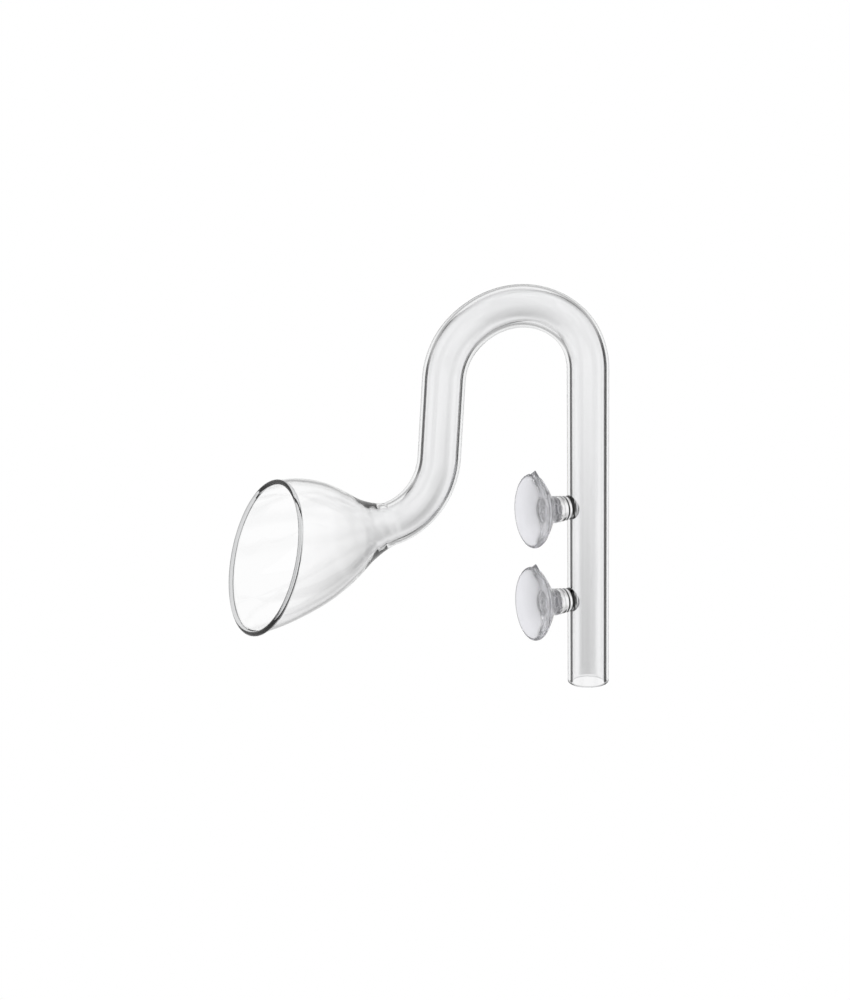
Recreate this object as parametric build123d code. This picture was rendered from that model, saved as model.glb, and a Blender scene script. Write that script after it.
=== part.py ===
"""Glass lily pipe: the outflow pipe of a planted aquarium, with its two suction cups.

A clear glass tube hooks over the tank's rim. Its outer leg takes the filter hose from below, and its inner leg
ends in a wide bell that spreads the water. Two ribbed glass studs on the outer leg carry clear PVC suction cups,
which hold the pipe on the outside of the tank's wall.

Millimetres, +Z up. The origin is the centre of the hose leg's lower end. The tube bends in the plane Y = 0, and
the bell lies towards -X.
"""

from build123d import *
from math import cos, radians, sin
import os

# Glass tube
TUBE_OD = 13.0
TUBE_WALL = 1.5
LIP_ROUNDING = 0.6  # fire-polished end of the hose leg

# Hose leg, with the plain stretch below the lower stud that the hose is pushed onto
LEG_LENGTH = 100.6
SPIGOT_LENGTH = 20.0

# Hook over the rim: two shoulder bends with one wider bend between them
HOOK_SPAN = 49.4  # between the two legs' axes
SHOULDER_RADIUS = 20.0
SHOULDER_TURN = 50.0
DROP_LEAN = 4.7  # how far the inner leg leans away from the hose leg, in degrees

# Inner leg and the elbow that turns the water towards the bell
DROP_LENGTH = 23.3
ELBOW_RADIUS = 20.5
OUTLET_DIP = 10.0  # the elbow's end points this far below level, in degrees

# Bell. Its sections are circles whose planes turn from square across the neck to the tilted mouth
BELL_LENGTH = 40.5
BELL_AXIS_DIP = 7.0
MOUTH_RADIUS = 23.2
MOUTH_TILT = 17.6  # how far the mouth looks up, in degrees
BELL_WALL = 1.0
WELD_SHARE = 0.2  # part of the bell's length taken by its thick root
BELL_FLARE = [  # along the bell, and the share of the way from the neck's radius to the mouth's
    (0.0, 0.0),
    (0.08, 0.045),
    (WELD_SHARE, 0.17),
    (0.36, 0.43),
    (0.56, 0.69),
    (0.8, 0.885),
    (1.0, 0.985),
]
BEAD_RADIUS = 0.75  # half the thickness of the fire-polished bead round the mouth
WELD_STEP = 0.8  # how far the root's inner edge stands proud inside the bell

# Studs
STUD_HEIGHTS = {"lower": 28.1, "upper": 57.8}
STUD_RADIUS = 3.5
STUD_BASE_RADIUS = 4.3
STUD_BASE_LENGTH = 1.1
RIB_COUNT = 3
RIB_PITCH = 1.25
RIB_HEIGHT = 0.42
RIB_GROWTH = 0.14  # each rib stands this much prouder than the one nearer the tube
PEG_RADIUS = 1.3
PEG_LENGTH = 3.2
PEG_CHAMFER = 0.5

# Suction cups
CUP_RADIUS = 11.5
CUP_EDGE = 0.7
CUP_LAND = 0.7  # width of the flat sealing ring
CUP_DOME_DEPTH = 6.3
CUP_DEPTH = 8.4
CUP_NECK_RADIUS = 4.2
CUP_HOLLOW = 2.3
CUP_FLAT = 2.0  # radius of the flat middle of the hollow
SOCKET_CLEARANCE = 0.05
SOCKET_EXTRA_DEPTH = 0.5
SEAT_GAP = 0.1  # between the cup's neck and the stud's end
TAB_WIDTH = 6.0
TAB_REACH = 1.3
TAB_THICKNESS = 0.9

TUBE_RADIUS = TUBE_OD / 2
BORE_RADIUS = TUBE_RADIUS - TUBE_WALL


class Station:
    """A place on the tube's centreline, with the direction the tube runs there, in degrees above +X."""

    def __init__(self, x, z, heading):
        self.x = x
        self.z = z
        self.heading = heading

    def direction(self):
        return Vector(cos(radians(self.heading)), 0, sin(radians(self.heading)))

    def plane(self):
        return Plane(origin=(self.x, 0, self.z), x_dir=(0, 1, 0), z_dir=self.direction())

    def ahead(self, length):
        step = self.direction() * length
        return Station(self.x + step.X, self.z + step.Z, self.heading)


def ring_section(station):
    return station.plane() * (Circle(TUBE_RADIUS) - Circle(BORE_RADIUS))


def straight_tube(station, length):
    """A straight stretch of tube, and the station at its far end."""
    return extrude(ring_section(station), amount=length), station.ahead(length)


def bent_tube(station, radius, turn):
    """A bend about an axis along Y, and the station at its far end. A positive turn bends towards the left of
    the heading, as seen with +X to the right and +Z up."""
    side = 1 if turn > 0 else -1
    to_centre = radians(station.heading + 90 * side)
    centre_x = station.x + radius * cos(to_centre)
    centre_z = station.z + radius * sin(to_centre)
    axis = Axis((centre_x, 0, centre_z), (0, -side, 0))
    bend = revolve(ring_section(station), axis=axis, revolution_arc=abs(turn))
    from_centre = to_centre + radians(180 + turn)
    end = Station(
        centre_x + radius * cos(from_centre),
        centre_z + radius * sin(from_centre),
        station.heading + turn,
    )
    return bend, end


def fire_polished(tube, z):
    """The tube with both edges of its end at height z rounded."""
    edges = tube.edges().filter_by(GeomType.CIRCLE).filter_by_position(Axis.Z, z - 0.01, z + 0.01)
    return fillet(edges, LIP_ROUNDING)


def hook(station):
    """The bend over the rim, and the station where the inner leg starts."""
    top_radius = SHOULDER_RADIUS + (HOOK_SPAN / 2 - SHOULDER_RADIUS) / cos(radians(SHOULDER_TURN))
    turns = [
        (SHOULDER_RADIUS, SHOULDER_TURN),
        (top_radius, 180 - 2 * SHOULDER_TURN),
        (SHOULDER_RADIUS, SHOULDER_TURN - DROP_LEAN),
    ]
    whole = None
    for radius, turn in turns:
        bend, station = bent_tube(station, radius, turn)
        whole = bend if whole is None else whole + bend
    return whole, station


def bell_section(neck, share, radius):
    """A disc across the bell, at a share of the way from the neck to the mouth."""
    axis_heading = radians(180 + BELL_AXIS_DIP)
    x = neck.x + BELL_LENGTH * share * cos(axis_heading)
    z = neck.z + BELL_LENGTH * share * sin(axis_heading)
    heading = neck.heading + (180 - MOUTH_TILT - neck.heading) * share
    return Station(x, z, heading).plane() * Circle(radius)


def flare_radius(flare):
    return TUBE_RADIUS + (MOUTH_RADIUS - TUBE_RADIUS) * flare


def bell_form(neck, shares, inset):
    """The bell's solid form over some of its sections, made smaller all round by inset."""
    return loft([bell_section(neck, share, flare_radius(flare) - inset) for share, flare in shares])


def bell_root(neck):
    """The thick root of the bell, where it is fused to the tube. The tube's bore runs into it, then opens."""
    shares = [s for s in BELL_FLARE if s[0] <= WELD_SHARE]
    outside = bell_form(neck, shares, 0)
    open_share, open_flare = shares[-1]
    straight_share = 0.6 * open_share
    passage = loft([bell_section(neck, s, BORE_RADIUS) for s in (0.0, straight_share)], ruled=True)
    opening_radius = flare_radius(open_flare) - BELL_WALL - WELD_STEP
    opening = loft(
        [bell_section(neck, straight_share, BORE_RADIUS), bell_section(neck, open_share, opening_radius)],
        ruled=True,
    )
    return outside - passage - opening


def bell(neck):
    """The blown bell from its root to the beaded mouth."""
    shares = [s for s in BELL_FLARE if s[0] >= WELD_SHARE]
    wall = bell_form(neck, shares, 0) - bell_form(neck, shares, BELL_WALL)
    mouth = bell_section(neck, 1.0, MOUTH_RADIUS)
    bead = Plane(mouth.face()) * Torus(MOUTH_RADIUS - BEAD_RADIUS, BEAD_RADIUS)
    return wall + bead


def turned(profile, height):
    """A solid turned about a stud's axis, which runs towards -X at this height. The profile's points are given as
    (distance from the hose leg's axis, radius). They start and end on the stud's axis."""
    side_view = Plane(origin=(0, 0, height), x_dir=(-1, 0, 0), z_dir=(0, 1, 0))
    face = make_face(profile + [Line(profile[-1] @ 1, profile[0] @ 0)])
    return revolve(side_view * face, axis=Axis((0, 0, height), (-1, 0, 0)))


def stud_end():
    """How far the ribbed part of a stud reaches from the tube's axis."""
    return TUBE_RADIUS + STUD_BASE_LENGTH + RIB_COUNT * RIB_PITCH


def stud(height, leg_outside):
    """A ribbed glass stud, with the peg that the cup is pushed onto."""
    root = BORE_RADIUS / 2
    sunk = BORE_RADIUS + 0.1
    foot = TUBE_RADIUS + STUD_BASE_LENGTH
    edges = [
        Line((root, 0), (root, STUD_BASE_RADIUS)),
        Line((root, STUD_BASE_RADIUS), (sunk, STUD_BASE_RADIUS)),
        Line((sunk, STUD_BASE_RADIUS), (foot, STUD_RADIUS)),
    ]
    for rib in range(RIB_COUNT):
        start = foot + rib * RIB_PITCH
        groove = STUD_RADIUS + rib * RIB_GROWTH
        crest = groove + RIB_HEIGHT
        edges.append(
            ThreePointArc(
                (start, groove),
                (start + RIB_PITCH / 2, crest),
                (start + RIB_PITCH, groove + RIB_GROWTH),
            )
        )
    end = stud_end()
    peg_end = end + PEG_LENGTH
    edges += [
        Line((end, STUD_RADIUS + RIB_COUNT * RIB_GROWTH), (end, PEG_RADIUS)),
        Line((end, PEG_RADIUS), (peg_end - PEG_CHAMFER, PEG_RADIUS)),
        Line((peg_end - PEG_CHAMFER, PEG_RADIUS), (peg_end, PEG_RADIUS - PEG_CHAMFER)),
        Line((peg_end, PEG_RADIUS - PEG_CHAMFER), (peg_end, 0)),
    ]
    return turned(edges, height) - leg_outside


def suction_cup(height):
    """A soft cup on its stud, with its hollow face away from the tube and a small pull tab at the top."""
    back = stud_end() + SEAT_GAP
    face = back + CUP_DEPTH
    shoulder = face - CUP_DOME_DEPTH
    edges = [
        Line((back, 0), (back, CUP_NECK_RADIUS)),
        Line((back, CUP_NECK_RADIUS), (shoulder, CUP_NECK_RADIUS)),
        ThreePointArc(
            (shoulder, CUP_NECK_RADIUS),
            (face - 0.58 * CUP_DOME_DEPTH, 0.5 * (CUP_NECK_RADIUS + CUP_RADIUS) + 0.55),
            (face - CUP_EDGE, CUP_RADIUS),
        ),
        Line((face - CUP_EDGE, CUP_RADIUS), (face, CUP_RADIUS)),
        Line((face, CUP_RADIUS), (face, CUP_RADIUS - CUP_LAND)),
        ThreePointArc(
            (face, CUP_RADIUS - CUP_LAND),
            (face - 0.72 * CUP_HOLLOW, 0.5 * (CUP_RADIUS - CUP_LAND)),
            (face - CUP_HOLLOW, CUP_FLAT),
        ),
        Line((face - CUP_HOLLOW, CUP_FLAT), (face - CUP_HOLLOW, 0)),
    ]
    tab_back = face - CUP_EDGE
    tab = extrude(
        Plane(origin=(-tab_back, 0, height), x_dir=(0, 1, 0), z_dir=(1, 0, 0))
        * Polygon(
            (-TAB_WIDTH / 2, CUP_RADIUS * 0.93),
            (TAB_WIDTH / 2, CUP_RADIUS * 0.93),
            (0, CUP_RADIUS + TAB_REACH),
            align=None,
        ),
        amount=TAB_THICKNESS,
    )
    socket_depth = PEG_LENGTH - SEAT_GAP + SOCKET_EXTRA_DEPTH
    socket = Plane(origin=(-back, 0, height), z_dir=(-1, 0, 0)) * Cylinder(
        PEG_RADIUS + SOCKET_CLEARANCE,
        socket_depth,
        align=(Align.CENTER, Align.CENTER, Align.MIN),
    )
    return turned(edges, height) + tab - socket


def build():
    """Every piece by its node's name."""
    pieces = {}
    start = Station(0, 0, 90)
    spigot, station = straight_tube(start, SPIGOT_LENGTH)
    pieces["hose_spigot"] = fire_polished(spigot, 0)
    pieces["hose_leg"], station = straight_tube(station, LEG_LENGTH - SPIGOT_LENGTH)
    pieces["rim_hook"], station = hook(station)
    pieces["drop_leg"], station = straight_tube(station, DROP_LENGTH)
    pieces["outlet_elbow"], neck = bent_tube(
        station, ELBOW_RADIUS, 180 + OUTLET_DIP - station.heading
    )
    pieces["bell_root"] = bell_root(neck)
    pieces["outlet_bell"] = bell(neck)
    leg_outside = Cylinder(TUBE_RADIUS, LEG_LENGTH, align=(Align.CENTER, Align.CENTER, Align.MIN))
    for name, height in STUD_HEIGHTS.items():
        pieces[f"{name}_stud"] = stud(height, leg_outside)
        pieces[f"{name}_suction_cup"] = suction_cup(height)
    return pieces


def main():
    os.makedirs("parts", exist_ok=True)
    for name, piece in build().items():
        export_step(piece, f"parts/{name}.step")


main()
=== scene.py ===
from math import cos, pi, radians, sin

import bmesh
import bpy
from mathutils import Matrix, Vector


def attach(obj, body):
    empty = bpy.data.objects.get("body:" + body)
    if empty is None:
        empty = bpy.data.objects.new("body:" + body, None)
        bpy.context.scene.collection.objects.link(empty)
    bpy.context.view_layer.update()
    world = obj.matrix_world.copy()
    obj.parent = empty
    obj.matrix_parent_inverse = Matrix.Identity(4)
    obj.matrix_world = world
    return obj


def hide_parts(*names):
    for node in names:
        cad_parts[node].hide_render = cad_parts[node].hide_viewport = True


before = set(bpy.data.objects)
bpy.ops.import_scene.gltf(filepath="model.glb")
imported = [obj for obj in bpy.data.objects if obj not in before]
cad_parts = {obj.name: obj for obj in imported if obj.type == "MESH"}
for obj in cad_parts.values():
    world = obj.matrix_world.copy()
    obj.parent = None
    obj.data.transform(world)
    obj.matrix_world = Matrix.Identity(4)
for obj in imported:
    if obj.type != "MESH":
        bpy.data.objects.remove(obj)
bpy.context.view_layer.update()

MM = 0.001

# The pipe's glass, in millimetres, as the CAD part has it
TUBE_RADIUS = 6.5
BORE_RADIUS = 5.0
LEG_LENGTH = 100.6
HOOK_BENDS = [(20.0, 50.0), (27.312, 80.0), (20.0, 45.3)]
HOOK_THINNING = 0.25  # how much thinner the wall is on the outside of the bend
DROP_LENGTH = 23.3
ELBOW_RADIUS = 20.5
ELBOW_THINNING = 0.12
OUTLET_DIP = 10.0
BELL_LENGTH = 40.5
BELL_AXIS_DIP = 7.0
MOUTH_RADIUS = 23.2
MOUTH_TILT = 17.6
BEAD_RADIUS = 0.75
# share of the bell's length, outside radius, wall thickness
BELL_FORM = [
    (0.0, 6.5, 1.5),
    (0.08, 7.25, 1.52),
    (0.14, 8.2, 1.4),
    (0.2, 9.38, 1.27),
    (0.22, 9.83, 1.2),
    (0.28, 11.45, 1.1),
    (0.36, 13.7, 1.05),
    (0.56, 18.05, 1.0),
    (0.8, 21.3, 1.0),
    (1.0, 22.95, 1.15),
]
STUD_HEIGHTS = {"upper": 57.8, "lower": 28.1}
LIP_SUPPORTS = [0.95, 1.5]  # rings close above the lip keep the tube's shading straight
LEG_SPANS, DROP_SPANS = 12, 4
BEND_STEP = 2.5  # degrees of bend to each ring
LIP_STEPS = 10
BELL_STEPS = 64
BEAD_START, BEAD_SWEEP, BEAD_STEPS = -35, 250, 18

# The studs and cups, as distances out from the hose leg's axis and radii
STUD_FORM = [
    (3.5, 3.8),
    (6.2, 3.85),
    (6.8, 3.78),
    (7.2, 3.68),
    (7.6, 3.55),
]
RIB_COUNT = 3
RIB_PITCH = 1.25
RIB_HEIGHT = 0.26
RIB_GROWTH = 0.14
RIB_STEPS = 8
STUD_RADIUS = 3.5
STUD_FOOT = 7.6  # where the ribs start
STUD_END = 11.35
STUD_SEGMENTS = 72
PEG_RADIUS = 1.3
PEG_END = 14.55
PEG_FORM = [
    (STUD_END, STUD_RADIUS),
    (STUD_END, 1.5),
    (STUD_END + 0.15, PEG_RADIUS),
    (PEG_END - 0.5, PEG_RADIUS),
    (PEG_END - 0.15, 1.05),
    (PEG_END, 0.7),
    (PEG_END, 0.15),
]
STUD_ROOT_BELOW, STUD_ROOT_ABOVE = 5.5, 5.25  # the stud's inner end lies inside the tube's wall
CUP_BACK = 11.45
CUP_FACE = 19.85
CUP_RADIUS = 11.5
SOCKET_RADIUS = 1.35
SOCKET_END = 15.05
CUP_FORM = [
    (SOCKET_END, 0.15),
    (SOCKET_END - 0.1, 1.0),
    (SOCKET_END - 0.35, SOCKET_RADIUS),
    (CUP_BACK + 0.25, SOCKET_RADIUS),
    (CUP_BACK, 1.65),
    (CUP_BACK, 3.75),
    (CUP_BACK + 0.12, 4.05),
    (CUP_BACK + 0.4, 4.2),
    (CUP_BACK + 1.5, 4.1),
    (CUP_BACK + 2.1, 4.3),
    (CUP_BACK + 2.6, 4.7),
    (CUP_BACK + 3.2, 5.45),
    (CUP_BACK + 4.0, 6.6),
    (CUP_BACK + 5.0, 8.0),
    (CUP_BACK + 6.0, 9.3),
    (CUP_BACK + 7.0, 10.5),
    (CUP_BACK + 7.6, 11.23),
    (CUP_FACE - 0.5, 11.45),
    (CUP_FACE - 0.25, CUP_RADIUS),
    (CUP_FACE - 0.06, 11.43),
    (CUP_FACE, 11.25),
    (CUP_FACE, 10.95),
    (CUP_FACE - 0.1, 10.7),
    (CUP_FACE - 0.45, 10.0),
    (CUP_FACE - 0.95, 8.5),
    (CUP_FACE - 1.5, 6.5),
    (CUP_FACE - 1.95, 4.3),
    (CUP_FACE - 2.2, 2.4),
    (CUP_FACE - 2.28, 0.9),
    (CUP_FACE - 2.3, 0.15),
]
TAB_REACH = 1.2
TAB_HALF_ANGLE = 11.0
TAB_ROOT = 0.9  # the tab is drawn out of the rim from this share of the cup's radius
TAB_BACK = 1.4  # and only this far behind the face or further
CUP_NOD = 4.0  # the soft cups look up by this much, in degrees
NOD_START, NOD_LENGTH = 1.0, 2.5  # the part of the cup that bends to do so
SOCKET_KEPT = (1.7, 4.5)  # the radius and depth about the peg that stay straight

ROUND_SEGMENTS = 160
SHARP_ANGLE = 35
CUP_SHARP_ANGLE = 40


class Station:
    """A place on the pipe's centreline, with its heading in degrees above +X."""

    def __init__(self, x, z, heading, bore_shift=0.0):
        self.x, self.z, self.heading = x, z, heading
        self.bore_shift = bore_shift

    def bore(self):
        """The bore's circle, moved towards the outside of a bend, where bent glass is thinner."""
        h = radians(self.heading - 90)
        x, z = self.x + self.bore_shift * cos(h), self.z + self.bore_shift * sin(h)
        return Station(x, z, self.heading).circle(BORE_RADIUS)

    def circle(self, radius, forward=0.0):
        """The matrix that lays a unit circle across the pipe here, with this radius."""
        h = radians(self.heading)
        turn = Matrix(((0, -sin(h), cos(h)), (1, 0, 0), (0, cos(h), sin(h)))).to_4x4()
        place = Matrix.Translation(
            ((self.x + forward * cos(h)) * MM, 0, (self.z + forward * sin(h)) * MM)
        )
        return place @ turn @ Matrix.Scale(radius * MM, 4)

    def ahead(self, length):
        """The station this far straight on."""
        h = radians(self.heading)
        return Station(self.x + length * cos(h), self.z + length * sin(h), self.heading)

    def turned(self, radius, turn):
        """The station after a bend of this radius, to the left for a positive turn."""
        side = 1 if turn > 0 else -1
        to_centre = radians(self.heading + 90 * side)
        cx = self.x + radius * cos(to_centre)
        cz = self.z + radius * sin(to_centre)
        back = to_centre + pi + radians(turn)
        return Station(cx + radius * cos(back), cz + radius * sin(back), self.heading + turn)


def bend(start, radius, turn):
    """The stations round a bend after this one, close enough together to look round."""
    steps = round(abs(turn) / BEND_STEP)
    return [start.turned(radius, turn * i / steps) for i in range(1, steps + 1)]


def tube_stations():
    """Stations up the hose leg, over the hook, down the inner leg and round the elbow to the neck."""
    station = Station(0, 0, 90)
    heights = [0] + LIP_SUPPORTS + [LEG_LENGTH * i / LEG_SPANS for i in range(1, LEG_SPANS + 1)]
    stations = [station.ahead(height) for height in heights]
    hook = []
    start = stations[-1]
    for radius, turn in HOOK_BENDS:
        hook += bend(start, radius, turn)
        start = hook[-1]
    whole_turn = sum(turn for radius, turn in HOOK_BENDS)
    for station in hook:
        station.bore_shift = HOOK_THINNING * sin(pi * (station.heading - 90) / whole_turn) ** 2
    stations += hook
    start = stations[-1]
    stations += [start.ahead(DROP_LENGTH * i / DROP_SPANS) for i in range(1, DROP_SPANS + 1)]
    start = stations[-1]
    elbow = bend(start, ELBOW_RADIUS, 180 + OUTLET_DIP - start.heading)
    for i, station in enumerate(elbow):
        station.bore_shift = -ELBOW_THINNING * sin(pi * (i + 1) / len(elbow)) ** 2
    return stations + elbow


def eased(knots, share, column):
    """A smooth value of one column between the rows of a form."""
    for i in range(len(knots) - 1):
        if share <= knots[i + 1][0]:
            break

    def slope(j):
        lo, hi = knots[max(j - 1, 0)], knots[min(j + 1, len(knots) - 1)]
        return (hi[column] - lo[column]) / (hi[0] - lo[0])

    (s0, s1) = knots[i][0], knots[i + 1][0]
    (v0, v1) = knots[i][column], knots[i + 1][column]
    span = s1 - s0
    t = (share - s0) / span
    return (
        (2 * t**3 - 3 * t**2 + 1) * v0
        + (t**3 - 2 * t**2 + t) * span * slope(i)
        + (3 * t**2 - 2 * t**3) * v1
        + (t**3 - t**2) * span * slope(i + 1)
    )


def bell_station(neck, share):
    """A station inside the bell, this share of the way from the neck to the mouth."""
    axis = radians(180 + BELL_AXIS_DIP)
    heading = neck.heading + (180 - MOUTH_TILT - neck.heading) * share
    return Station(
        neck.x + BELL_LENGTH * share * cos(axis),
        neck.z + BELL_LENGTH * share * sin(axis),
        heading,
    )


def grow_rings(circles, segments, ends):
    """A skin through these circles. ends is "joined" for a skin that closes on itself, or "capped"."""
    bm = bmesh.new()
    made = bmesh.ops.create_circle(
        bm, cap_ends=False, segments=segments, radius=1.0, matrix=circles[0]
    )
    first = list({e for v in made["verts"] for e in v.link_edges})
    edges = first
    for last, circle in zip(circles, circles[1:]):
        grown = bmesh.ops.extrude_edge_only(bm, edges=edges)["geom"]
        verts = [g for g in grown if isinstance(g, bmesh.types.BMVert)]
        new = set(verts)
        edges = [
            g for g in grown if isinstance(g, bmesh.types.BMEdge) and all(v in new for v in g.verts)
        ]
        bmesh.ops.transform(bm, matrix=circle @ last.inverted(), verts=verts)
    if ends == "joined":
        bmesh.ops.bridge_loops(bm, edges=first + edges)
    else:
        bmesh.ops.holes_fill(bm, edges=[e for e in bm.edges if e.is_boundary], sides=0)
    bmesh.ops.recalc_face_normals(bm, faces=bm.faces)
    return bm


def as_object(bm, name, sharp_angle):
    mesh = bpy.data.meshes.new(name)
    bm.to_mesh(mesh)
    bm.free()
    mesh.shade_smooth()
    mesh.set_sharp_from_angle(angle=radians(sharp_angle))
    piece = bpy.data.objects.new(name, mesh)
    bpy.context.scene.collection.objects.link(piece)
    return piece


def combine(piece, other, operation):
    """Joins or cuts piece with other, which is used up."""
    cut = piece.modifiers.new("combine", "BOOLEAN")
    cut.operation = operation
    cut.solver = "EXACT"
    cut.object = other
    bpy.context.view_layer.update()
    shaped = piece.evaluated_get(bpy.context.evaluated_depsgraph_get())
    mesh = bpy.data.meshes.new_from_object(shaped)
    mesh.name = piece.name
    piece.modifiers.clear()
    piece.data = mesh
    bpy.data.objects.remove(other)


def out_from_leg(height, form):
    """Circles about a stud's axis, which runs towards -X from the hose leg at this height."""
    return [Station(0, height, 180).circle(radius, forward=reach) for reach, radius in form]


def glass_stud(name, height):
    """A ribbed stud with its peg, cut hollow at the leg so that it ends inside the tube's wall."""
    form = list(STUD_FORM)
    for rib in range(RIB_COUNT):
        for part in range(1, RIB_STEPS + 1):
            t = part / RIB_STEPS
            bulge = RIB_HEIGHT * sin(pi * t) ** 0.7
            reach = STUD_FOOT + RIB_PITCH * (rib + t)
            form.append((reach, STUD_RADIUS + RIB_GROWTH * (rib + t) + bulge))
    rings = out_from_leg(height, form + PEG_FORM)
    stud = as_object(grow_rings(rings, STUD_SEGMENTS, "capped"), name, SHARP_ANGLE)
    bore = bmesh.new()
    bmesh.ops.create_cone(
        bore,
        cap_ends=True,
        segments=ROUND_SEGMENTS,
        radius1=STUD_ROOT_BELOW * MM,
        radius2=STUD_ROOT_ABOVE * MM,
        depth=30 * MM,
        matrix=Matrix.Translation((0, 0, height * MM)),
    )
    combine(stud, as_object(bore, "bore_cut", SHARP_ANGLE), "DIFFERENCE")
    return stud


def lip_circles(hose_end):
    """Round the hose end's lip, from the bore to the outside."""
    wall_middle = (TUBE_RADIUS + BORE_RADIUS) / 2
    half_wall = (TUBE_RADIUS - BORE_RADIUS) / 2
    return [
        hose_end.circle(wall_middle + half_wall * cos(a), forward=half_wall * (1 + sin(a)))
        for a in [-pi + pi * i / LIP_STEPS for i in range(LIP_STEPS + 1)]
    ]


def bead_circles(mouth):
    """Round the bead at the bell's mouth, from the outside to the inside."""
    middle = MOUTH_RADIUS - BEAD_RADIUS
    return [
        mouth.circle(middle + BEAD_RADIUS * cos(a), forward=BEAD_RADIUS * sin(a))
        for a in [radians(BEAD_START + BEAD_SWEEP * i / BEAD_STEPS) for i in range(BEAD_STEPS + 1)]
    ]


def glass_pipe():
    """The whole of the fused glass: tube, hook, elbow, bell and studs, as one closed skin."""
    stations = tube_stations()
    neck = stations[-1]
    shares = [i / BELL_STEPS for i in range(1, BELL_STEPS)]
    circles = lip_circles(stations[0])
    circles += [s.circle(TUBE_RADIUS) for s in stations[1:]]
    circles += [bell_station(neck, s).circle(eased(BELL_FORM, s, 1)) for s in shares]
    circles += bead_circles(bell_station(neck, 1.0))
    circles += [
        bell_station(neck, s).circle(eased(BELL_FORM, s, 1) - eased(BELL_FORM, s, 2))
        for s in reversed(shares)
    ]
    circles += [s.bore() for s in reversed(stations[1:])]
    pipe = as_object(grow_rings(circles, ROUND_SEGMENTS, "joined"), "glass_pipe", SHARP_ANGLE)
    for name, height in STUD_HEIGHTS.items():
        combine(pipe, glass_stud(f"{name}_stud_glass", height), "UNION")
    pipe.data.shade_smooth()
    pipe.data.set_sharp_from_angle(angle=radians(SHARP_ANGLE))
    return pipe


def draw_out_tab(bm, height):
    """Pulls the rim's top out into a small pointed tab."""
    for v in bm.verts:
        up, across = v.co.z / MM - height, v.co.y / MM
        radius = Vector((across, up)).length
        if radius < TAB_ROOT * CUP_RADIUS or up <= 0 or v.co.x / MM > -(CUP_FACE - TAB_BACK):
            continue
        off = abs(Vector((across, up)).angle_signed(Vector((0, 1)))) / radians(TAB_HALF_ANGLE)
        if off < 1:
            rim_share = min((radius / CUP_RADIUS - TAB_ROOT) / (1 - TAB_ROOT), 1)
            pull = TAB_REACH * (1 - off) ** 1.3 * rim_share
            v.co.z += pull * MM * up / radius
            v.co.y += pull * MM * across / radius


def nod_up(bm, height):
    """Bends the cup upwards between its neck and its rim, and leaves the socket straight."""
    root = Vector((-(CUP_BACK + NOD_START) * MM, 0, height * MM))
    kept_radius, kept_depth = SOCKET_KEPT
    for v in bm.verts:
        reach = -v.co.x / MM - CUP_BACK
        if Vector((v.co.y, v.co.z - height * MM)).length < kept_radius * MM and reach < kept_depth:
            continue
        share = min(max((reach - NOD_START) / NOD_LENGTH, 0.0), 1.0)
        nod = Matrix.Rotation(radians(CUP_NOD) * share * share * (3 - 2 * share), 3, "Y")
        v.co = root + nod @ (v.co - root)


def suction_cup(name, height):
    bm = grow_rings(out_from_leg(height, CUP_FORM), ROUND_SEGMENTS, "capped")
    draw_out_tab(bm, height)
    nod_up(bm, height)
    return as_object(bm, name, CUP_SHARP_ANGLE)


# ---------------------------------------------------------------- finishes


def new_material(name):
    material = bpy.data.materials.new(name)
    material.use_nodes = True
    return material, material.node_tree.nodes, material.node_tree.links


def surface_mottle():
    """A mask of faint, broad unevenness over a surface, in 0 to 1."""
    group = bpy.data.node_groups.new("surface_mottle", "ShaderNodeTree")
    size = group.interface.new_socket("Size", in_out="INPUT", socket_type="NodeSocketFloat")
    size.default_value = 200.0
    group.interface.new_socket("Mask", in_out="OUTPUT", socket_type="NodeSocketFloat")
    nodes, links = group.nodes, group.links
    inlet, outlet = nodes.new("NodeGroupInput"), nodes.new("NodeGroupOutput")
    place = nodes.new("ShaderNodeTexCoord")
    noise = nodes.new("ShaderNodeTexNoise")
    noise.inputs["Detail"].default_value = 2.0
    links.new(place.outputs["Object"], noise.inputs["Vector"])
    links.new(inlet.outputs["Size"], noise.inputs["Scale"])
    links.new(noise.outputs["Fac"], outlet.inputs["Mask"])
    return group


def mottled(nodes, group, size):
    mask = nodes.new("ShaderNodeGroup")
    mask.node_tree = group
    mask.inputs["Size"].default_value = size
    return mask.outputs["Mask"]


def object_place(nodes):
    return nodes.new("ShaderNodeTexCoord").outputs["Object"]


def share_between(nodes, links, value, start, end):
    """0 where value is at start, 1 where it is at end."""
    ramp = nodes.new("ShaderNodeMapRange")
    ramp.inputs["From Min"].default_value = start
    ramp.inputs["From Max"].default_value = end
    links.new(value, ramp.inputs["Value"])
    return ramp.outputs["Result"]


def tint_between(nodes, links, share, first, second):
    """A colour from first to second, by share. first is a colour or another colour's output."""
    mix = nodes.new("ShaderNodeMix")
    mix.data_type = "RGBA"
    if isinstance(first, tuple):
        mix.inputs[6].default_value = first
    else:
        links.new(first, mix.inputs[6])
    mix.inputs[7].default_value = second
    links.new(share, mix.inputs[0])
    return mix.outputs[2]


def spread(nodes, links, mask, low, high, socket):
    ramp = nodes.new("ShaderNodeMapRange")
    ramp.inputs["To Min"].default_value = low
    ramp.inputs["To Max"].default_value = high
    links.new(mask, ramp.inputs["Value"])
    links.new(ramp.outputs["Result"], socket)


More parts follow.
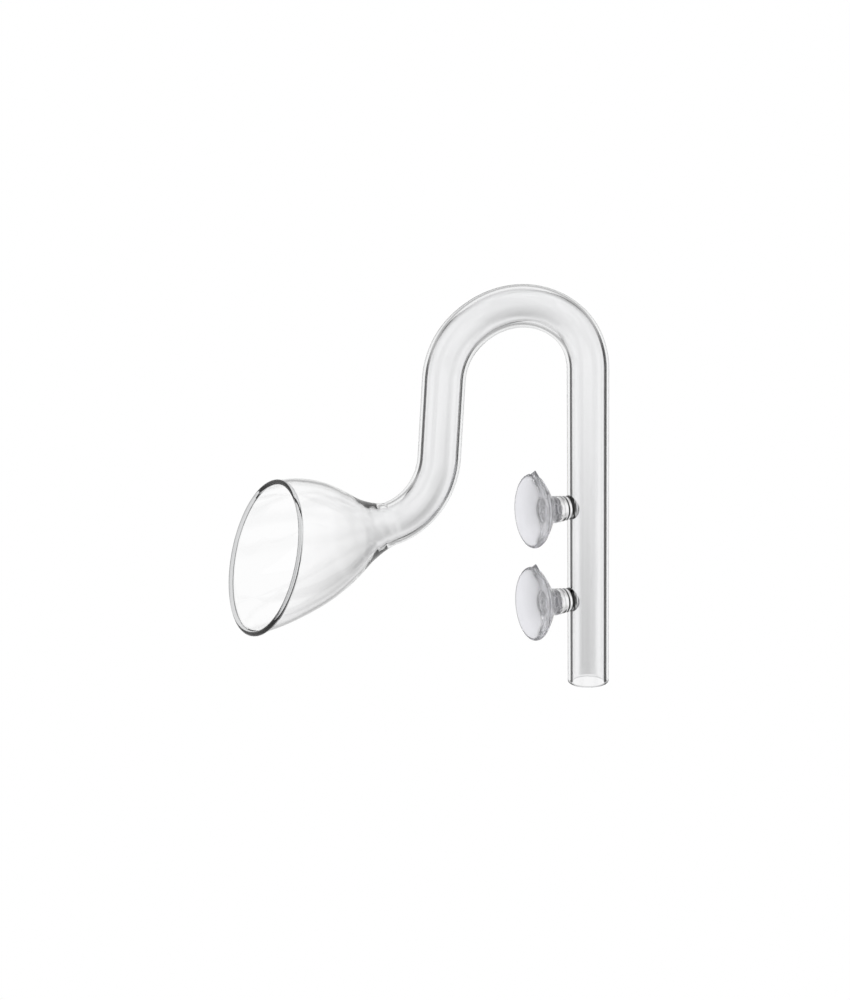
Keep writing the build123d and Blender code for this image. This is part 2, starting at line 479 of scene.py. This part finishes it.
# The tube's thick wall is greyer than the thin blown bell, and the bead's base colour is painted much
# darker, as painted shade that draws its dark outline
BELL_STARTS = -66.0
BELL_THIN = -84.0
TUBE_TINT = (0.935, 0.936, 0.94, 1)
BELL_TINT = (0.985, 0.985, 0.987, 1)
# painted shade: the bead's dark outline, put into its base colour
BEAD_PAINTED_SHADE_TINT = (0.66, 0.665, 0.67, 1)
GLASS_REFRACTION = 1.47
GLASS_ROUGHNESS = (0.0, 0.012)
GLASS_MOTTLE_SIZE = 60.0


def clear_glass(mottle):
    material, nodes, links = new_material("clear_glass")
    glass = nodes["Principled BSDF"]
    glass.inputs["Transmission Weight"].default_value = 1.0
    glass.inputs["IOR"].default_value = GLASS_REFRACTION
    glass.inputs["Metallic"].default_value = 0.0

    place = object_place(nodes)
    parts = nodes.new("ShaderNodeSeparateXYZ")
    links.new(place, parts.inputs[0])
    blown = share_between(nodes, links, parts.outputs["X"], BELL_STARTS * MM, BELL_THIN * MM)
    # how far out a place is along the mouth's own axis, to find the bead, where the painted shade goes
    mouth = bell_station(tube_stations()[-1], 1.0)
    axis = Vector((cos(radians(mouth.heading)), 0, sin(radians(mouth.heading))))
    out = nodes.new("ShaderNodeVectorMath")
    out.operation = "DOT_PRODUCT"
    out.inputs[1].default_value = axis
    links.new(place, out.inputs[0])
    plane = axis.dot(Vector((mouth.x, 0, mouth.z)))
    bead_start = (plane - BEAD_RADIUS) * MM
    bead_full = (plane - 0.3 * BEAD_RADIUS) * MM
    bead_shade_share = share_between(nodes, links, out.outputs["Value"], bead_start, bead_full)
    tint = tint_between(nodes, links, blown, TUBE_TINT, BELL_TINT)
    # painted shade: the bead's glass is darkened so that its rim reads as a dark line
    tint = tint_between(nodes, links, bead_shade_share, tint, BEAD_PAINTED_SHADE_TINT)
    links.new(tint, glass.inputs["Base Color"])

    mask = mottled(nodes, mottle, GLASS_MOTTLE_SIZE)
    spread(nodes, links, mask, *GLASS_ROUGHNESS, glass.inputs["Roughness"])
    return material


# The cup's thick neck and dome are greyer than its thin skirt: partly the thicker PVC's own tint, partly
# painted shade for the grey they show
CUP_SKIRT_TINT = (0.9, 0.9, 0.935, 1)
# partly painted shade: far darker than the clear PVC's own tint
CUP_NECK_TINT_AND_PAINTED_SHADE = (0.5, 0.5, 0.52, 1)
CUP_THIN, CUP_THICK = -18.2, -14.0
PVC_REFRACTION = 1.45
PVC_CLEARNESS = 0.88
PVC_ROUGHNESS = (0.08, 0.16)
PVC_MOTTLE_SIZE = 350.0


def clear_pvc(mottle):
    material, nodes, links = new_material("clear_pvc")
    pvc = nodes["Principled BSDF"]
    pvc.inputs["Transmission Weight"].default_value = PVC_CLEARNESS
    pvc.inputs["IOR"].default_value = PVC_REFRACTION

    parts = nodes.new("ShaderNodeSeparateXYZ")
    links.new(object_place(nodes), parts.inputs[0])
    thick = share_between(nodes, links, parts.outputs["X"], CUP_THIN * MM, CUP_THICK * MM)
    # partly painted shade: the neck and dome's base colour is darkened well past the PVC's own tint
    tint = tint_between(nodes, links, thick, CUP_SKIRT_TINT, CUP_NECK_TINT_AND_PAINTED_SHADE)
    links.new(tint, pvc.inputs["Base Color"])

    mask = mottled(nodes, mottle, PVC_MOTTLE_SIZE)
    spread(nodes, links, mask, *PVC_ROUGHNESS, pvc.inputs["Roughness"])
    return material


# ---------------------------------------------------------------- pieces

mottle = surface_mottle()
glass = clear_glass(mottle)
pvc = clear_pvc(mottle)

pipe = glass_pipe()
pipe.data.materials.clear()
pipe.data.materials.append(glass)
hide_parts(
    "hose_spigot",
    "hose_leg",
    "rim_hook",
    "drop_leg",
    "outlet_elbow",
    "bell_root",
    "outlet_bell",
    "upper_stud",
    "lower_stud",
)
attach(pipe, "glass_pipe")

for name, height in STUD_HEIGHTS.items():
    cup = suction_cup(f"{name}_clear_cup", height)
    cup.data.materials.append(pvc)
    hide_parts(f"{name}_suction_cup")
    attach(cup, f"{name}_cup")

# ---------------------------------------------------------------- studio

VIEW_AZIMUTH = radians(25.736)
VIEW_ELEVATION = radians(14.0)
VIEW_ROLL = radians(-1.037)
VIEW_DISTANCE = 700.0
AIM = Vector((-56.236, 0, 66.379))
LENS = 84.05

FLOOR_DROP = 0.03  # metres under the pipe's lower end
FLOOR_HALF_SIZE = 8.0

# name, place and width in metres, and power in watts
SOFT_LAMPS = [
    ("left_soft_lamp", (-1.0, -0.9, 1.1), 1.2, 2.0),
    ("right_soft_lamp", (0.9, -0.6, 0.8), 1.2, 1.5),
]

# The surround's brightness in its dark upright gaps. Angles are in degrees of bearing.
GAP_LEFT, GAP_RIGHT, GAP_REAR = 0.06, 0.02, 0.12
GAP_MIDDLE = 48.0
PANEL_EDGE = (13.0, 19.0)
SIDE_EASE = 0.3  # how softly one side's value turns into the next one's, as a sine
# its soft dark bands above and below, each with the heights at which it starts, is full, ends and is gone
DARK_BANDS = [("above", -0.05, 0.16, 0.22, 0.5), ("below", 0.36, 0.56, 0.62, 0.9)]
BAND_SHADE = 0.42
# how much of that dark is seen through a hollow tube and through solid glass
HOLLOW_SHARE, SOLID_SHARE, REAR_SOLID_SHARE = 0.45, 0.55, 0.35
# its soft grey patch low down behind the hose leg
PATCH_BEARING, PATCH_ELEVATION = -3.4, -18.5
PATCH_WIDTH, PATCH_HEIGHT, PATCH_SHADE = 8.0, 8.0, 0.62
PATCH_REACH = 1.1
# the plainer room that the glass mirrors
ROOM_SIDE, ROOM_TOP = 0.75, 0.8


def make_camera():
    psi, e, roll = VIEW_AZIMUTH, VIEW_ELEVATION, VIEW_ROLL
    towards = Vector((-sin(psi) * cos(e), -cos(psi) * cos(e), sin(e)))
    right = Vector((cos(psi), -sin(psi), 0))
    up = Vector((sin(psi) * sin(e), cos(psi) * sin(e), cos(e)))
    right, up = right * cos(roll) + up * sin(roll), up * cos(roll) - right * sin(roll)
    data = bpy.data.cameras.new("camera")
    data.lens = LENS
    data.clip_start = 0.01
    camera = bpy.data.objects.new("camera", data)
    bpy.context.scene.collection.objects.link(camera)
    turn = Matrix((right, up, towards)).transposed().to_4x4()
    camera.matrix_world = Matrix.Translation((AIM + towards * VIEW_DISTANCE) * MM) @ turn
    bpy.context.scene.camera = camera


def make_floor():
    bm = bmesh.new()
    bmesh.ops.create_grid(bm, x_segments=1, y_segments=1, size=FLOOR_HALF_SIZE)
    bmesh.ops.translate(bm, vec=(0, 0, -FLOOR_DROP), verts=bm.verts)
    floor = as_object(bm, "studio_floor", SHARP_ANGLE)
    material, nodes, links = new_material("studio_white")
    nodes.remove(nodes["Principled BSDF"])
    glow = nodes.new("ShaderNodeEmission")
    glow.inputs["Color"].default_value = (1, 1, 1, 1)
    glow.inputs["Strength"].default_value = 1.0
    links.new(glow.outputs["Emission"], nodes["Material Output"].inputs["Surface"])
    floor.data.materials.append(material)
    floor.visible_transmission = False
    floor.visible_glossy = False
    floor.visible_diffuse = False
    floor.visible_shadow = False


def make_lamps():
    """Two large soft lamps in front of the object, one on each side."""
    for name, place, width, power in SOFT_LAMPS:
        data = bpy.data.lights.new(name, "AREA")
        data.size = width
        data.energy = power
        lamp = bpy.data.objects.new(name, data)
        bpy.context.scene.collection.objects.link(lamp)
        place = Vector(place)
        turn = (place - AIM * MM).to_track_quat("Z", "Y").to_matrix().to_4x4()
        lamp.matrix_world = Matrix.Translation(place) @ turn
        lamp.visible_transmission = False
        lamp.visible_camera = False


class NodeMaths:
    """Sums in a node tree. A value is a number or a node's output."""

    def __init__(self, tree):
        self.nodes, self.links = tree.nodes, tree.links

    def plug(self, socket, value):
        if isinstance(value, (int, float)):
            socket.default_value = value
        else:
            self.links.new(value, socket)

    def work_out(self, operation, *values):
        node = self.nodes.new("ShaderNodeMath")
        node.operation = operation
        for socket, value in zip(node.inputs, values):
            self.plug(socket, value)
        return node.outputs[0]

    def ease(self, value, low, high, to_low=0.0, to_high=1.0):
        """Goes smoothly from to_low where value is at low to to_high where it is at high."""
        node = self.nodes.new("ShaderNodeMapRange")
        node.interpolation_type = "SMOOTHSTEP"
        numbers = {"From Min": low, "From Max": high, "To Min": to_low, "To Max": to_high}
        for name, number in numbers.items():
            node.inputs[name].default_value = number
        self.plug(node.inputs["Value"], value)
        return node.outputs["Result"]

    def blend(self, share, first, second):
        node = self.nodes.new("ShaderNodeMix")
        node.data_type = "FLOAT"
        for socket, value in ((0, share), (2, first), (3, second)):
            self.plug(node.inputs[socket], value)
        return node.outputs[0]


def upright_gaps(sums, bearing):
    """White panels on all four sides with a dark gap between each pair."""
    # folded on to one quarter: 0 straight behind or in front, and 90 degrees at either side
    from_side = sums.work_out("SUBTRACT", sums.work_out("ABSOLUTE", bearing), pi / 2)
    quarter = sums.work_out("SUBTRACT", pi / 2, sums.work_out("ABSOLUTE", from_side))
    from_gap = sums.work_out("ABSOLUTE", sums.work_out("SUBTRACT", quarter, radians(GAP_MIDDLE)))
    leftness, ahead = sums.work_out("SINE", bearing), sums.work_out("COSINE", bearing)
    gap = sums.ease(leftness, -SIDE_EASE, SIDE_EASE, GAP_RIGHT, GAP_LEFT)
    gap = sums.blend(sums.ease(ahead, -SIDE_EASE, SIDE_EASE), GAP_REAR, gap)
    panel_start, panel_full = (radians(angle) for angle in PANEL_EDGE)
    return sums.blend(sums.ease(from_gap, panel_start, panel_full), gap, 1.0)


def with_bands(sums, height, level):
    """The same surround with its soft dark bands above and below."""
    for side, start, full, end, gone in DARK_BANDS:
        away = sums.work_out("MULTIPLY", height, 1.0 if side == "above" else -1.0)
        rise = sums.ease(away, start, full)
        fall = sums.ease(away, end, gone, 1.0, 0.0)
        level = sums.blend(sums.work_out("MULTIPLY", rise, fall), level, BAND_SHADE)
    return level


def grey_patch(sums, bearing, elevation):
    """How bright the surround is left by the patch low down behind the hose leg."""
    across = sums.work_out("SUBTRACT", bearing, radians(PATCH_BEARING))
    across = sums.work_out("DIVIDE", across, radians(PATCH_WIDTH))
    up = sums.work_out("SUBTRACT", elevation, radians(PATCH_ELEVATION))
    up = sums.work_out("DIVIDE", up, radians(PATCH_HEIGHT))
    squares = [sums.work_out("MULTIPLY", offset, offset) for offset in (across, up)]
    off = sums.work_out("SQRT", sums.work_out("ADD", *squares))
    return sums.ease(off, 0.0, PATCH_REACH, PATCH_SHADE, 1.0)


def make_surround():
    """What the glass shows: white panels with dark gaps and bands between them, which draw its
    edges as thin dark lines, and a plainer pale room for what it mirrors."""
    world = bpy.data.worlds.new("studio")
    bpy.context.scene.world = world
    world.use_nodes = True
    sums = NodeMaths(world.node_tree)

    direction = sums.nodes.new("ShaderNodeTexCoord").outputs["Generated"]
    parts = sums.nodes.new("ShaderNodeSeparateXYZ")
    sums.links.new(direction, parts.inputs[0])
    x, y, height = parts.outputs
    # bearing is 0 straight behind the object as it is first seen, and grows to the left
    bearing = sums.work_out("SUBTRACT", sums.work_out("ARCTAN2", y, x), pi / 2 - VIEW_AZIMUTH)
    bearing = sums.work_out("WRAP", bearing, pi, -pi)
    elevation = sums.work_out("ARCSINE", height)
    shown = with_bands(sums, height, upright_gaps(sums, bearing))

    # the dark is full for light turned back inside a wall, and less for light that went straight through
    paths = sums.nodes.new("ShaderNodeLightPath")
    turned_back = sums.work_out("GREATER_THAN", paths.outputs["Glossy Depth"], 0.5)
    # two surfaces crossed mean solid glass, and more of them a hollow tube
    solid = sums.work_out("LESS_THAN", paths.outputs["Transmission Depth"], 2.5)
    ahead = sums.work_out("COSINE", bearing)
    solid_share = sums.ease(ahead, -SIDE_EASE, SIDE_EASE, REAR_SOLID_SHARE, SOLID_SHARE)
    share = sums.blend(turned_back, sums.blend(solid, HOLLOW_SHARE, solid_share), 1.0)
    shown = sums.blend(share, 1.0, shown)
    patch = sums.blend(solid, grey_patch(sums, bearing, elevation), 1.0)
    shown = sums.work_out("MULTIPLY", shown, patch)

    steepness = sums.work_out("ABSOLUTE", height)
    mirrored = sums.blend(sums.ease(steepness, 0.2, 0.8), ROOM_SIDE, ROOM_TOP)
    level = sums.blend(paths.outputs["Is Reflection Ray"], shown, mirrored)
    level = sums.blend(paths.outputs["Is Camera Ray"], level, 1.0)
    background = sums.nodes["Background"]
    background.inputs["Color"].default_value = (1, 1, 1, 1)
    sums.links.new(level, background.inputs["Strength"])


make_camera()
make_floor()
make_lamps()
make_surround()
bpy.context.scene.view_settings.view_transform = "Standard"
